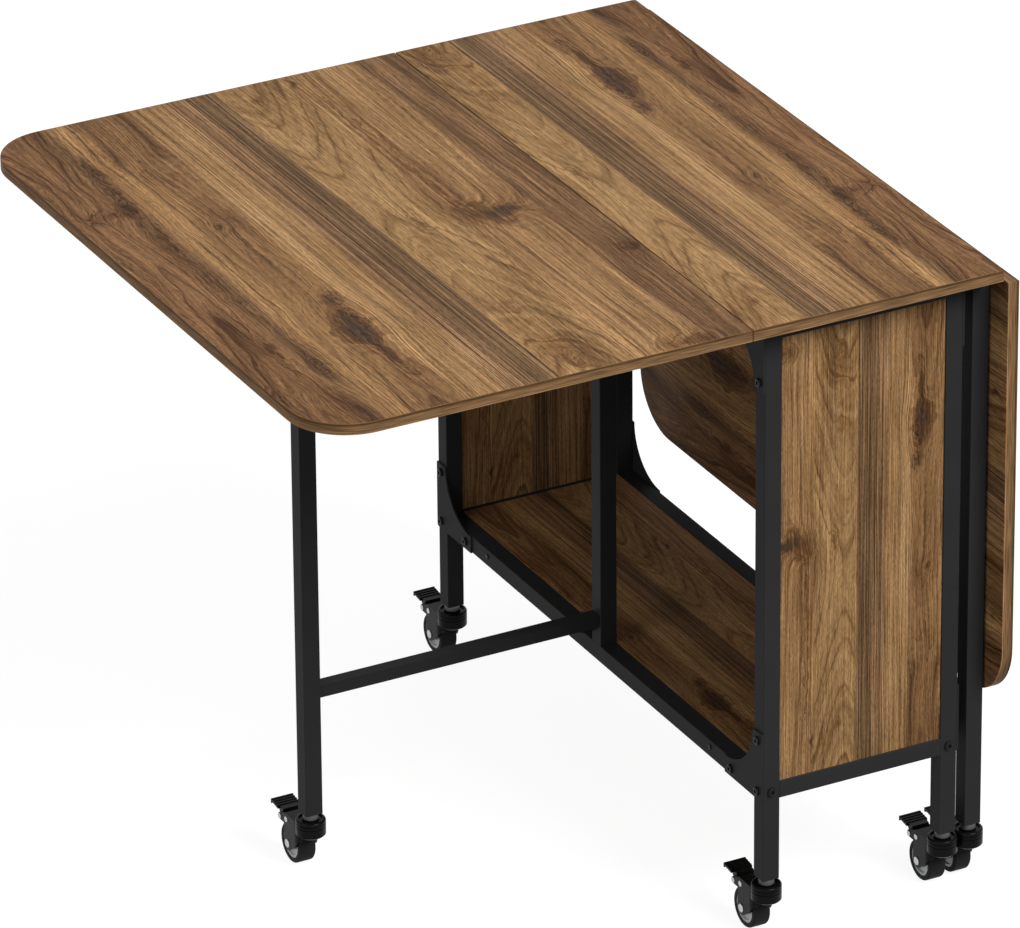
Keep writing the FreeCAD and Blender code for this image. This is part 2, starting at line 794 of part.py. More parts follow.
def export_leaves():
    """Both leaves with their hinge plates and screws: the left raised, the right hanging."""
    near, far = hinge_plate_reach(False)
    places = list(hinge_screw_places(-1, near, far))
    shanks = placed_fasteners(screw_shank(leaf_hinge_plate_thick), places)
    screws = placed_fasteners(wood_screw(leaf_hinge_plate_thick), places)
    board = drilled(leaf_board(), shanks)
    plates = leaf_hinge_half(-1, False, moving_knuckles(), leaf_hinge_pin + pin_clearance)
    hinges = [drilled(plate, shanks) for plate in plates] + screws
    export("left_leaf", [board])
    export("left_leaf_hinge_plates", hinges)
    export("right_leaf", [hanging_right(board)])
    export("right_leaf_hinge_plates", [hanging_right(s) for s in hinges])


def export_gates():
    """Both gates and the hinge brackets that carry them: the left open, the right folded."""
    brackets = left_gate_brackets()
    export("gate_hinge_brackets", brackets + [to_right(s) for s in brackets])
    pins = left_gate_pins()
    export("hinge_pins", leaf_hinge_pins() + pins + [to_right(s) for s in pins])
    stem = [moved(s, -open_leg_x, 0) for s in caster_stem()]
    pieces = {
        "leg": [left_gate_leg()],
        "arms": left_gate_arms(),
        "knuckles": left_gate_knuckles(),
        "leg_cap": [left_gate_cap()],
        "caster_stem": stem,
    }
    for name, solids in pieces.items():
        export("left_gate_" + name, solids)
        export("right_gate_" + name, [folded_right(s) for s in solids])


def export_casters():
    """Six like casters, each trailing to the back."""
    stems = []
    for name, (x, y) in caster_places.items():
        if not name.endswith("gate"):
            stems += [moved(s, x, y) for s in caster_stem()]
    export("caster_stems", stems)
    pieces = {
        "fork": [caster_fork()],
        "pins": caster_pins(),
        "tyre": [caster_tyre()],
        "hub": [caster_hub()],
        "pedal": [caster_pedal()],
    }
    for name, (x, y) in caster_places.items():
        for piece, solids in pieces.items():
            export(name + "_caster_" + piece, [moved(s, x, y) for s in solids])


def build():
    os.makedirs("parts", exist_ok=True)
    bolts = list(bolt_places())
    shelf_screws = list(shelf_screw_places())
    top_screws = list(top_screw_places())
    near, far = hinge_plate_reach(True)
    plate_screws = []
    for side in (-1, 1):
        plate_screws += hinge_screw_places(side, near, far)
    bolt_shanks = placed_fasteners(bolt_shank(), bolts)
    shelf_shanks = placed_fasteners(screw_shank(tube), shelf_screws)
    top_shanks = placed_fasteners(screw_shank(tube), top_screws)
    plate_shanks = placed_fasteners(screw_shank(leaf_hinge_plate_thick), plate_screws)
    export("frame_bolts", placed_fasteners(socket_bolt(), bolts))
    screws = placed_fasteners(wood_screw(tube), shelf_screws + top_screws)
    screws += placed_fasteners(wood_screw(leaf_hinge_plate_thick), plate_screws)
    export("wood_screws", screws)
    export_frame(bolt_shanks, shelf_shanks, top_shanks)
    export_boards(shelf_shanks, top_shanks, plate_shanks)
    plates = []
    for side in (-1, 1):
        plates += leaf_hinge_half(side, True, fixed_knuckles(), leaf_hinge_pin)
    export("leaf_hinge_plates", [drilled(plate, plate_shanks) for plate in plates])
    export_leaves()
    export_gates()
    export_casters()


build()
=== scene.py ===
# %% [markdown]
# # A folding dining table on casters
#
# The table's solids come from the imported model: boards, square tubes, hinges, bolts and casters,
# each already in its place and at its real size. This lesson gives every surface its finish,
# sets a white studio round the table and puts the camera where the photograph was taken.

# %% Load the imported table
import json
import math

import bpy
import numpy as np
from mathutils import Matrix, Vector


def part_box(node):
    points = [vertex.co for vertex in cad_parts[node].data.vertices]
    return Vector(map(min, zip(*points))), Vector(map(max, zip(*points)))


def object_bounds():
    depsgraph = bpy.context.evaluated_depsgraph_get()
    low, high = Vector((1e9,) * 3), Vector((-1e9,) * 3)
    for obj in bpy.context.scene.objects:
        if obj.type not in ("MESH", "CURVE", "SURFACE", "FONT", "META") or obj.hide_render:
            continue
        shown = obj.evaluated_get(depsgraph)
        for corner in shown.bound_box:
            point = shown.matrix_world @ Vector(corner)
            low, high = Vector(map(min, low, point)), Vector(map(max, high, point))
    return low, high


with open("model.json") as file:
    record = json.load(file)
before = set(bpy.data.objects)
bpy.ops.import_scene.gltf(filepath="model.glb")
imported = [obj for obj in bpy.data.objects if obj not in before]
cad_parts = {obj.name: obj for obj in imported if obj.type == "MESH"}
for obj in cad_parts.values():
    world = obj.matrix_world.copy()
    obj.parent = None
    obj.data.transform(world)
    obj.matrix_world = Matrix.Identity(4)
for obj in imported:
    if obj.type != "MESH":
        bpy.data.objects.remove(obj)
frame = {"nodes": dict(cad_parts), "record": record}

nodes = frame["nodes"]
cad_low, cad_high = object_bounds()
MM = 0.001
print("nodes:", len(nodes), "size in metres:", [round(v, 4) for v in cad_high - cad_low])

# %% [markdown]
# ## Colours
#
# A paint chart gives colours as sRGB hex values, and shaders want linear light. Each colour could be
# turned by hand, but one function leaves the chart's own codes readable in the script.

# %% Colour helper
def linear(code):
    """A share s of sRGB is s / 12.92 up to 0.04045, and ((s + 0.055) / 1.055) ^ 2.4 above it."""
    shares = np.array([int(code[k:k + 2], 16) / 255 for k in (1, 3, 5)])
    light = np.where(shares <= 0.04045, shares / 12.92, ((shares + 0.055) / 1.055) ** 2.4)
    return (*[float(v) for v in light], 1.0)


print("linear #808080:", [round(v, 3) for v in linear("#808080")])

# %% [markdown]
# ## Finishes as trees of nodes
#
# A finish is a tree of nodes. It could be drawn in the shader editor, but a script can be read, changed
# and run again. One function adds any node: its settings by name, and its inputs as plain values or as
# links from other nodes.

# %% Node helper
def add(tree, kind, inputs=None, **settings):
    """Adds one node. Inputs are values, nodes or sockets, by socket name or number."""
    node = tree.nodes.new("ShaderNode" + kind)
    for key, value in settings.items():
        setattr(node, key, value)
    for key, value in (inputs or {}).items():
        if isinstance(value, bpy.types.Node):
            value = next(socket for socket in value.outputs if socket.enabled)
        if isinstance(value, bpy.types.NodeSocket):
            tree.links.new(value, node.inputs[key])
        else:
            node.inputs[key].default_value = value
    return node


print("materials before the finishes:", len(bpy.data.materials))

# %% [markdown]
# ## Walnut-look laminate
#
# The boards are chipboard faced with a printed melamine foil. The print shows strips of walnut side by
# side: some with straight dark grain, some with the arches that a flat cut leaves, and a few knots. A
# picture of wood would do, but a formula fits any board, so the print is worked out from how wood grows.
# First come the strips, each with an edge, how soft that edge is, and its palest and darkest tones.

# %% The strips of the print
PRINT_WIDTH = 502.0
# right edge of a strip, softness of that edge (mm), pale tone and dark tone
STRIPS = [
    (60.0, 6.0, "#97704c", "#4d301a"),
    (80.0, 3.0, "#8d6a48", "#472e1a"),
    (106.0, 6.0, "#a98257", "#67472a"),
    (168.0, 5.0, "#9d774f", "#5a3d25"),
    (216.0, 7.0, "#b48e62", "#7a5734"),
    (246.0, 9.0, "#967352", "#553b22"),
    (276.0, 0.8, "#866849", "#48321e"),
    (360.0, 1.5, "#b08b5e", "#6e4d2d"),
    (448.0, 2.5, "#b0895e", "#6b4a2c"),
    (502.0, 1.0, "#926f4d", "#523721"),
]


def set_stops(ramp, stops, interpolation="LINEAR"):
    """Fills a colour ramp with (place, colour) stops in rising order."""
    ramp.interpolation = interpolation
    while len(ramp.elements) < len(stops):
        ramp.elements.new(0.5)
    for element, (place, colour) in zip(ramp.elements, stops):
        element.position = place
        element.color = colour


def strip_ramp(tree, share, rows, interpolation="LINEAR"):
    """A ramp over the print: each strip's row, crossing to the next over the edge's softness."""
    stops = []
    left, left_soft = 0.0, 0.0
    for (edge, softness, *tones), row in zip(STRIPS, rows):
        stops.append(((left + left_soft) / PRINT_WIDTH, row))
        stops.append(((edge - softness) / PRINT_WIDTH, row))
        left, left_soft = edge, softness
    ramp = add(tree, "ValToRGB", {0: share})
    set_stops(ramp.color_ramp, stops, interpolation)
    return ramp


print("strips:", len(STRIPS), "print width in mm:", PRINT_WIDTH)

# %% [markdown]
# ## Marks along the grain
#
# Fibres, pores, bands and waves all run along the tree, so each is drawn as noise stretched along the
# print. A brush stroke for each mark would take thousands. Noise needs only the width and length that the
# mark has on real wood, and how strongly it swings what it is added to. The finest lines on real walnut
# are thinner than these, which are drawn as coarse as they need to be to show.

# %% Noise along the grain
# width and length of a mark (mm), detail and seed of its noise, and its swing
MARKS = {
    "edge wander": (16.0, 60.0, 2.0, 0.7, 26.0),
    "broad wave": (42.0, 150.0, 2.0, 3.7, 34.0),
    "small wave": (12.0, 60.0, 2.0, 9.1, 4.0),
    "ring scallop": (9.0, 60.0, 1.0, 1.2, 26.0),
    "ring band": (5.0, 420.0, 3.0, 5.3, 1.7),
    "cloud": (50.0, 170.0, 2.0, 6.1, 0.9),
    "knot streak": (3.0, 50.0, 2.0, 3.3, 2.2),
    "long line": (1.1, 300.0, 1.0, 2.6, 4.2),
    "fibre": (1.6, 80.0, 1.0, 1.9, 0.6),
    "fleck": (0.9, 10.0, 1.0, 4.4, 1.4),
}


def stretched_noise(tree, place, width, length, detail, seed):
    """Noise whose marks are about `width` mm wide and `length` mm long on the print."""
    sized = add(tree, "VectorMath", {0: place, 1: (1 / width, 1 / length, 1.0), 2: (seed, seed, seed)},
                operation="MULTIPLY_ADD")
    return add(tree, "TexNoise", {"Vector": sized, "Scale": 1.0, "Detail": detail})


def swing(tree, noise, amount, start):
    """start + amount * (noise - 0.5), where amount and start are numbers or sockets."""
    level = add(tree, "Math", {0: noise, 1: 0.5}, operation="SUBTRACT")
    return add(tree, "Math", {0: level, 1: amount, 2: start}, operation="MULTIPLY_ADD")


def mark(tree, place, kind, start, share=None):
    """Start, swung by one kind of mark, by all of its swing or by a share of it."""
    *size, amount = MARKS[kind]
    if share is not None:
        amount = add(tree, "Math", {0: share, 1: amount}, operation="MULTIPLY")
    return swing(tree, stretched_noise(tree, place, *size), amount, start)


print("kinds of mark:", list(MARKS))

# %% [markdown]
# ## Knots
#
# A knot is the root of a branch. The grain bends round it and the wood in it is darker. Each could be
# painted, but a bell in two sizes is enough for it, and the same bell, long and narrow, gives the dark
# flames of the first strip. A darkness below nought leaves a pale streak. The push moves the grain aside,
# away from the knot's middle, before anything else is drawn.

# %% Knots, flames and pale streaks
# place across and along the print, half width, half length, push of the grain (all mm), darkness
KNOTS = [
    (149.0, -188.0, 15.0, 37.0, 0.0, 0.85),
    (156.0, -122.0, 9.0, 15.0, 0.0, 0.75),
    (149.0, -264.0, 7.0, 50.0, 0.0, 0.60),
    (134.0, -216.0, 17.0, 24.0, 0.0, 0.40),
    (152.0, -188.0, 30.0, 66.0, 19.0, 0.20),
    (402.0, -18.0, 24.0, 12.0, 0.0, 1.10),
    (382.0, 8.0, 18.0, 13.0, 0.0, 0.55),
    (426.0, -22.0, 15.0, 7.0, 0.0, 0.50),
    (402.0, -42.0, 14.0, 16.0, 0.0, 0.50),
    (404.0, -18.0, 36.0, 27.0, -14.0, 0.20),
    (375.0, 200.0, 4.0, 190.0, 0.0, 0.45),
    (428.0, -392.0, 36.0, 14.0, 0.0, 0.65),
    (363.0, 380.0, 3.0, 11.0, 0.0, 0.90),
    (132.0, 88.0, 9.0, 15.0, 8.0, 0.45),
    (140.0, 230.0, 18.0, 110.0, 0.0, 0.20),
    (95.0, 270.0, 7.0, 130.0, 0.0, -0.25),
    (494.0, -160.0, 15.0, 18.0, 9.0, 0.60),
    (310.0, 354.0, 3.0, 5.0, 3.0, 0.95),
    (304.0, -228.0, 15.0, 26.0, 0.0, 0.25),
    (306.0, -300.0, 20.0, 26.0, 0.0, 0.25),
    (309.0, -368.0, 7.0, 16.0, 3.0, 0.55),
    (320.0, -5.0, 5.0, 18.0, 0.0, 0.45),
    (76.0, 262.0, 7.0, 34.0, 0.0, 0.55),
    (70.0, 180.0, 9.0, 26.0, 6.0, 0.60),
    (44.0, 166.0, 22.0, 12.0, 4.0, 0.30),
    (68.0, 75.0, 8.0, 70.0, 0.0, 0.50),
    (70.0, -50.0, 7.0, 50.0, 0.0, 0.45),
    (48.0, -206.0, 6.0, 34.0, 4.0, 0.55),
    (70.0, -264.0, 8.0, 26.0, 0.0, 0.60),
]


def knot_sums(tree, place, across):
    """Across moved by the sum of -push * x * exp(-d * d), and the sum of darkness * exp(-d * d)."""
    dark = 0.0
    for knot_across, knot_along, half_width, half_length, push, shade in KNOTS:
        sized = add(tree, "VectorMath", {0: place, 1: (1 / half_width, 1 / half_length, 0.0),
                                         2: (-knot_across / half_width, -knot_along / half_length, 0.0)},
                    operation="MULTIPLY_ADD")
        square = add(tree, "VectorMath", {0: sized, 1: sized}, operation="DOT_PRODUCT").outputs["Value"]
        bell = add(tree, "Math", {0: math.exp(-1), 1: square}, operation="POWER")
        dark = add(tree, "Math", {0: bell, 1: shade, 2: dark}, operation="MULTIPLY_ADD")
        if push:
            off_middle = add(tree, "SeparateXYZ", {0: sized}).outputs[0]
            side = add(tree, "Math", {0: off_middle, 1: bell}, operation="MULTIPLY")
            across = add(tree, "Math", {0: side, 1: -push, 2: across}, operation="MULTIPLY_ADD")
    return across, dark


print("knots, flames and streaks:", len(KNOTS), "that push the grain:", sum(1 for row in KNOTS if row[4]))

# %% [markdown]
# ## Growth rings
#
# A growth ring is a line of equal distance from the tree's heart. Where the cut leans away from the heart
# these lines close into nested arches, and the arches turn over at the waist, the place where the cut
# comes nearest to the heart. Arches could be drawn as curves one by one, but one distance gives them all.
# The ramp's colours stay from 0 to 1, so the places are scaled into that and back.

# %% The arches of each strip
# heart line (mm), steepness across, lean along, place of the waist (mm)
ARCHES = [
    (30.0, 0.80, 0.05, 120.0),
    (30.0, 0.80, 0.05, 120.0),
    (140.0, 0.60, 0.06, 400.0),
    (140.0, 0.60, 0.06, 400.0),
    (420.0, 1.00, 0.02, 0.0),
    (520.0, 1.00, 0.02, 0.0),
    (520.0, 1.00, 0.02, 0.0),
    (299.0, 0.50, 0.14, 55.0),
    (250.0, 0.90, 0.04, -16.0),
    (640.0, 0.90, 0.05, -150.0),
]
HEART_REACH = 1000.0
WAIST_REACH = 400.0
HEART_BLUNT = 14.0
WAIST_BLUNT = 50.0


def ring_distance(tree, share, across, along):
    """Steepness * root((across - heart)^2 + blunt^2) - lean * root((along - waist)^2 + blunt^2), in mm."""
    rows = [(heart / HEART_REACH, steepness, lean, (waist + WAIST_REACH) / (2 * WAIST_REACH))
            for heart, steepness, lean, waist in ARCHES]
    shape = strip_ramp(tree, share, rows, "CONSTANT")
    heart, steepness, lean = add(tree, "SeparateColor", {0: shape.outputs["Color"]}).outputs
    from_heart = add(tree, "Math", {0: heart, 1: -HEART_REACH, 2: across}, operation="MULTIPLY_ADD")
    minus_waist = add(tree, "Math", {0: shape.outputs["Alpha"], 1: -2 * WAIST_REACH, 2: WAIST_REACH},
                      operation="MULTIPLY_ADD")
    from_waist = add(tree, "Math", {0: along, 1: minus_waist}, operation="ADD")
    arms = []
    for distance, blunt, slope in ((from_heart, HEART_BLUNT, steepness), (from_waist, WAIST_BLUNT, lean)):
        corner = add(tree, "CombineXYZ", {0: distance, 1: blunt})
        length = add(tree, "VectorMath", {0: corner}, operation="LENGTH").outputs["Value"]
        arms.append(add(tree, "Math", {0: length, 1: slope}, operation="MULTIPLY"))
    return add(tree, "Math", {0: arms[0], 1: arms[1]}, operation="SUBTRACT")


print("strips with arches:", len(ARCHES), "flattest lean:", min(row[2] for row in ARCHES))

# %% [markdown]
# Each year ends with a thin band of dense late wood, which shows as a dark line. A wave texture would
# draw lines of even darkness. Here a ramp over each ring's width gives a line that starts slowly and stops
# sharply, as in real wood, and patches of noise let it fade in and out along its length.

# %% The lines of the rings
RING_SPACING = 6.3
# place within a ring's width, and how dark the line is there
LATE_WOOD = [(0.0, 0.2), (0.12, 0.0), (0.72, 0.2), (0.92, 1.0), (1.0, 0.2)]
RING_PATCH = (RING_SPACING, 130.0, 1.0, 2.3)
PATCH_RANGE = (0.38, 0.62)
FAINTEST_LINE = 0.1


def ring_lines(tree, ring, along):
    """Thin late-wood lines, one for each ring spacing, fading in and out along their length."""
    rings = add(tree, "Math", {0: ring, 1: 1 / RING_SPACING}, operation="MULTIPLY")
    growth = add(tree, "Math", {0: rings}, operation="FRACT")
    late = add(tree, "ValToRGB", {0: growth})
    set_stops(late.color_ramp, [(place, (level, level, level, 1)) for place, level in LATE_WOOD])
    flow = add(tree, "CombineXYZ", {0: ring, 1: along})
    patch = stretched_noise(tree, flow, *RING_PATCH)
    fade = add(tree, "MapRange", {0: patch, 1: PATCH_RANGE[0], 2: PATCH_RANGE[1], 3: FAINTEST_LINE, 4: 1.0})
    return add(tree, "Math", {0: late, 1: fade}, operation="MULTIPLY")


print("ring spacing in mm:", RING_SPACING)

# %% [markdown]
# ## The whole print
#
# No two strips are cut alike: the first are wavy and full of rings, the middle ones straight with fine
# dark lines. A table of shares says how much of each mark a strip gets. The grain's path is bent first,
# by ragged knots and by waves, and every later layer follows the bent path.

# %% The path of the grain
# share of waviness, of ring lines, of fine lines, and of wander of the strip's own edges
CHARACTER = [
    (1.00, 0.85, 0.50, 0.30),
    (1.00, 0.75, 0.50, 0.50),
    (0.60, 0.60, 0.70, 0.40),
    (0.60, 0.80, 0.50, 0.20),
    (0.12, 0.10, 0.65, 0.10),
    (0.10, 0.10, 1.00, 0.10),
    (0.08, 0.10, 1.00, 0.00),
    (0.35, 1.00, 0.45, 0.00),
    (0.30, 0.20, 0.60, 0.00),
    (0.50, 0.50, 0.65, 0.00),
]
KNOT_RAGGED = (13.0, 18.0, 2.0, 8.2)
RAGGED_REACH = Vector((17.0, 26.0, 0.0))


def grain_paths(tree, across, along):
    """Share of the print, across bent, darkness of knots, and the shares of ring lines and fine lines."""
    place = add(tree, "CombineXYZ", {0: across, 1: along})
    straight = add(tree, "Math", {0: across, 1: 1 / PRINT_WIDTH}, operation="MULTIPLY")
    character = strip_ramp(tree, straight, CHARACTER)
    waviness, rings, fine = add(tree, "SeparateColor", {0: character.outputs["Color"]}).outputs
    edge = mark(tree, place, "edge wander", across, character.outputs["Alpha"])
    share = add(tree, "Math", {0: edge, 1: 1 / PRINT_WIDTH}, operation="MULTIPLY")
    ragged = stretched_noise(tree, place, *KNOT_RAGGED).outputs["Color"]
    ragged = add(tree, "VectorMath", {0: ragged, 1: RAGGED_REACH, 2: -RAGGED_REACH / 2},
                 operation="MULTIPLY_ADD")
    bent, dark = knot_sums(tree, add(tree, "VectorMath", {0: place, 1: ragged}, operation="ADD"), across)
    for wave in ("broad wave", "small wave"):
        bent = mark(tree, place, wave, bent, waviness)
    return share, bent, dark, rings, fine


print("strips with their own character:", len(CHARACTER))

# %% [markdown]
# A printer lays inks on one another, and so do these layers. Bands, ring lines, clouds and knots say how
# far a strip's tone goes from pale to dark. Over it come fine lines, fibres, flecks and pores, which only
# lighten or darken the tone, so the strips keep their hue.

# %% The inks
KNOT_RINGS = 45.0
RING_INK = 0.6
MIDDLE_DEPTH = 0.42
STAIN_START = 0.9
STAIN_RANGE = (0.45, 1.10)
KNOT_COVER = 0.85
KNOT_TONE = "#40342a"
PORE = (1.3, 8.0, 0.0, 7.7)
PORE_RANGE = (0.58, 0.70)
PORE_INK = 0.80
LEAST_INK = 0.25


def tone_depth(tree, flow, ring, along, rings, dark):
    """How far the tone goes from pale, 0, to dark, 1, and the stain of the knots."""
    amount = add(tree, "Math", {0: rings, 1: RING_INK}, operation="MULTIPLY")
    line = add(tree, "Math", {0: ring_lines(tree, ring, along), 1: amount}, operation="MULTIPLY")
    ring_flow = add(tree, "CombineXYZ", {0: ring, 1: along})
    cloud = mark(tree, flow, "cloud", mark(tree, ring_flow, "ring band", MIDDLE_DEPTH))
    streak = mark(tree, flow, "knot streak", STAIN_START)
    stain = add(tree, "Math", {0: dark, 1: streak}, operation="MULTIPLY")
    layers = add(tree, "Math", {0: line, 1: cloud}, operation="ADD")
    return add(tree, "Math", {0: layers, 1: stain}, operation="ADD", use_clamp=True), stain


def fine_ink(tree, flow, fine):
    """How much of the tone is left by fine lines, fibres, flecks and pores, and the pores alone."""
    ink = mark(tree, flow, "long line", 1.0, fine)
    for kind in ("fibre", "fleck"):
        ink = mark(tree, flow, kind, ink)
    hole = stretched_noise(tree, flow, *PORE)
    pore = add(tree, "MapRange", {0: hole, 1: PORE_RANGE[0], 2: PORE_RANGE[1], 3: 1.0, 4: PORE_INK})
    ink = add(tree, "Math", {0: ink, 1: pore}, operation="MULTIPLY")
    return add(tree, "Math", {0: ink, 1: LEAST_INK}, operation="MAXIMUM"), pore


def walnut_print(tree, across, along):
    """The print's colour and its pore mask, from sockets across and along in mm."""
    share, bent, dark, rings, fine = grain_paths(tree, across, along)
    flow = add(tree, "CombineXYZ", {0: bent, 1: along})
    distance = ring_distance(tree, share, bent, mark(tree, flow, "ring scallop", along))
    ring = add(tree, "Math", {0: dark, 1: KNOT_RINGS, 2: distance}, operation="MULTIPLY_ADD")
    depth, stain = tone_depth(tree, flow, ring, along, rings, dark)
    pale, deep = [strip_ramp(tree, share, [linear(row[k]) for row in STRIPS]).outputs[0] for k in (2, 3)]
    tone = add(tree, "Mix", {0: depth, 6: pale, 7: deep}, data_type="RGBA").outputs[2]
    knotty = add(tree, "MapRange", {0: stain, 1: STAIN_RANGE[0], 2: STAIN_RANGE[1], 3: 0.0, 4: KNOT_COVER})
    tone = add(tree, "Mix", {0: knotty, 6: tone, 7: linear(KNOT_TONE)}, data_type="RGBA").outputs[2]
    ink, pore = fine_ink(tree, flow, fine)
    return add(tree, "VectorMath", {0: tone, "Scale": ink}, operation="SCALE").outputs[0], pore


print("knot tone:", KNOT_TONE, "darkest pore:", PORE_INK)

# %% [markdown]
# ## The boards' edges
#
# A board's cut edges are covered with a band of the same foil, its grain running along the edge in thin
# layers. A dark glue line shows under the top face, and the lower arris carries a pale line, a painted
# highlight where light catches it. A second material on the edge faces would need them picked out. Here
# the edge is wherever the surface turns away from the board's thickness, which holds on round corners too.

# %% Edge band
LAYER_THICKNESS = 1.3
LAYER_LENGTH = 35.0
LAYER_INK = 2.6
FACING_RANGE = (0.45, 0.85)
# share of the board's thickness, from its lower face, and the tone there; the pale lowest stop is a painted
# highlight
EDGE_TONES_AND_HIGHLIGHT = [(0.05, "#b08a5e"), (0.12, "#866747"), (0.72, "#7c5e40"),
              (0.80, "#5a4129"), (0.90, "#5a4129"), (0.97, "#7c5e40")]


def edge_band(tree, place, normal, axis, low, high):
    """The edge's colour, with a painted highlight along its lower arris, and a mask that is 1 where the
    surface faces across the thickness axis.
    """
    stretch = [1 / (LAYER_LENGTH * MM)] * 3
    stretch["XYZ".index(axis)] = 1 / (LAYER_THICKNESS * MM)
    layers = add(tree, "VectorMath", {0: place, 1: stretch}, operation="MULTIPLY")
    layer = add(tree, "TexNoise", {"Vector": layers, "Scale": 1.0, "Detail": 3.0})
    height = add(tree, "SeparateXYZ", {0: place}).outputs[axis]
    share = add(tree, "MapRange", {0: height, 1: low * MM, 2: high * MM})
    bands = add(tree, "ValToRGB", {0: share})
    set_stops(bands.color_ramp, [(stop, linear(tone)) for stop, tone in EDGE_TONES_AND_HIGHLIGHT])
    ink = swing(tree, layer, LAYER_INK, 1.0)
    tone = add(tree, "VectorMath", {0: bands, "Scale": ink}, operation="SCALE").outputs[0]
    turned = add(tree, "SeparateXYZ", {0: normal}).outputs[axis]
    facing = add(tree, "Math", {0: turned}, operation="ABSOLUTE")
    mask = add(tree, "MapRange", {0: facing, 1: FACING_RANGE[0], 2: FACING_RANGE[1], 3: 1.0, 4: 0.0})
    return tone, mask


print("edge tones:", [tone for stop, tone in EDGE_TONES_AND_HIGHLIGHT])

# %% [markdown]
# ## The boards
#
# The print is laid on a board by two numbers, across and along, each a board axis turned into millimetres
# of print by a slope and an offset. An unwrapped picture would do this with a UV map, but two axes are
# enough for a flat board. The foil is pressed satin, so the pattern is in the colour and hardly in the
# relief: only the pores are a little sunk.

# %% Boards as materials
FOIL_ROUGHNESS = 0.52
FOIL_SPECULAR = 0.05
PORE_DEPTH = 0.1
PORE_RELIEF = 0.3


def empty_tree(owner):
    """Turns on the nodes of a material or a world and clears its tree."""
    owner.use_nodes = True
    owner.node_tree.nodes.clear()
    return owner.node_tree


def new_material(name):
    """A material with only its surface shader, as (material, tree, shader)."""
    material = bpy.data.materials.new(name)
    tree = empty_tree(material)
    shader = add(tree, "BsdfPrincipled")
    add(tree, "OutputMaterial", {"Surface": shader.outputs[0]})
    return material, tree, shader


def walnut_board(name, across, along, axis, low, high):
    """Printed melamine on chipboard: soft sheen, no mirror, and pores that catch the light a little."""
    material, tree, shader = new_material(name)
    spot = add(tree, "TexCoord")
    corner = add(tree, "SeparateXYZ", {0: spot.outputs["Object"]})
    sides = []
    for board_axis, slope, offset in (across, along):
        sides.append(add(tree, "Math", {0: corner.outputs[board_axis], 1: slope / MM, 2: offset},
                         operation="MULTIPLY_ADD").outputs[0])
    face, pore = walnut_print(tree, *sides)
    edge, mask = edge_band(tree, spot.outputs["Object"], spot.outputs["Normal"], axis, low, high)
    colour = add(tree, "Mix", {0: mask, 6: face, 7: edge}, data_type="RGBA")
    relief = add(tree, "Bump", {"Strength": PORE_RELIEF, "Distance": PORE_DEPTH * MM, "Height": pore})
    tree.links.new(colour.outputs[2], shader.inputs["Base Color"])
    tree.links.new(relief.outputs[0], shader.inputs["Normal"])
    shader.inputs["Roughness"].default_value = FOIL_ROUGHNESS
    shader.inputs["Specular IOR Level"].default_value = FOIL_SPECULAR
    return material


print("foil roughness:", FOIL_ROUGHNESS)

# %% [markdown]
# Every board takes the same print, as boards cut from printed sheets do. The left leaf starts it at its
# round end. The centre top and the end panels have it turned half round, and the centre top's strips are a
# little narrower. The shelf and the panels carry a smaller print. On these boards the print is laid so
# that one strip edge and one knot lie where the real boards show them.

# %% Places of the boards
SMALL_PRINT = 0.6
NARROW_PRINT = 0.86
SHARP_EDGE = STRIPS[6][0]
LONG_KNOT_ALONG = -184.0
WIDE_KNOT_ALONG = -16.0
leaf_low, leaf_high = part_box("left_leaf")
top_low, top_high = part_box("centre_top")
hang_low, hang_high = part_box("right_leaf")
panel_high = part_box("front_end_panel")[1]
shelf_low, shelf_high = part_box("shelf")
middle_x = (top_low.x + top_high.x) / 2 / MM
middle_y = (top_low.y + top_high.y) / 2 / MM
top_edge_x = middle_x - 86.0
shelf_edge_x = middle_x + 8.0
panel_edge_x = middle_x - 6.0
shelf_knot_y = middle_y - 170.0
panel_knot_z = panel_high.z / MM - 245.5
print("middle of the top in mm:", round(middle_x, 1), round(middle_y, 1))

# %% [markdown]
# A slope below nought turns the print round, and a slope above 1 makes it smaller, because more of the
# print's millimetres then fit on one of the board's. The offset could be found by trying. Here it follows
# from one place of the board where one place of the print has to lie.

# %% Lay the print on the boards
def slope_through(axis, slope, board_mm, print_mm):
    """The (axis, slope, offset) that puts one print place at one place of the board."""
    return axis, slope, print_mm - slope * board_mm


def paint(node, material):
    """Gives a node one material, by its material slots."""
    slots = nodes[node].data.materials
    slots.clear()
    slots.append(material)


# across and along as (axis, slope, offset), then the thickness axis and the board's two faces on it in mm
BOARDS = {
    "left_leaf": (slope_through("X", 1.0, leaf_low.x / MM, 0.0),
                  slope_through("Y", 1.0, middle_y, 0.0),
                  "Z", leaf_low.z / MM, leaf_high.z / MM),
    "centre_top": (slope_through("X", -1 / NARROW_PRINT, top_edge_x, SHARP_EDGE),
                   slope_through("Y", -1.0, middle_y, -WIDE_KNOT_ALONG),
                   "Z", top_low.z / MM, top_high.z / MM),
    "right_leaf": (slope_through("Z", 1.0, hang_low.z / MM, 0.0),
                   slope_through("Y", -1.0, middle_y, 0.0),
                   "X", hang_low.x / MM, hang_high.x / MM),
    "shelf": (slope_through("X", 1 / SMALL_PRINT, shelf_edge_x, SHARP_EDGE),
              slope_through("Y", 1 / SMALL_PRINT, shelf_knot_y, LONG_KNOT_ALONG),
              "Z", shelf_low.z / MM, shelf_high.z / MM),
}
for panel in ("front_end_panel", "back_end_panel"):
    BOARDS[panel] = (slope_through("X", -1 / SMALL_PRINT, panel_edge_x, SHARP_EDGE),
                     slope_through("Z", -1 / SMALL_PRINT, panel_knot_z, WIDE_KNOT_ALONG),
                     "Y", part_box(panel)[0].y / MM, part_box(panel)[1].y / MM)
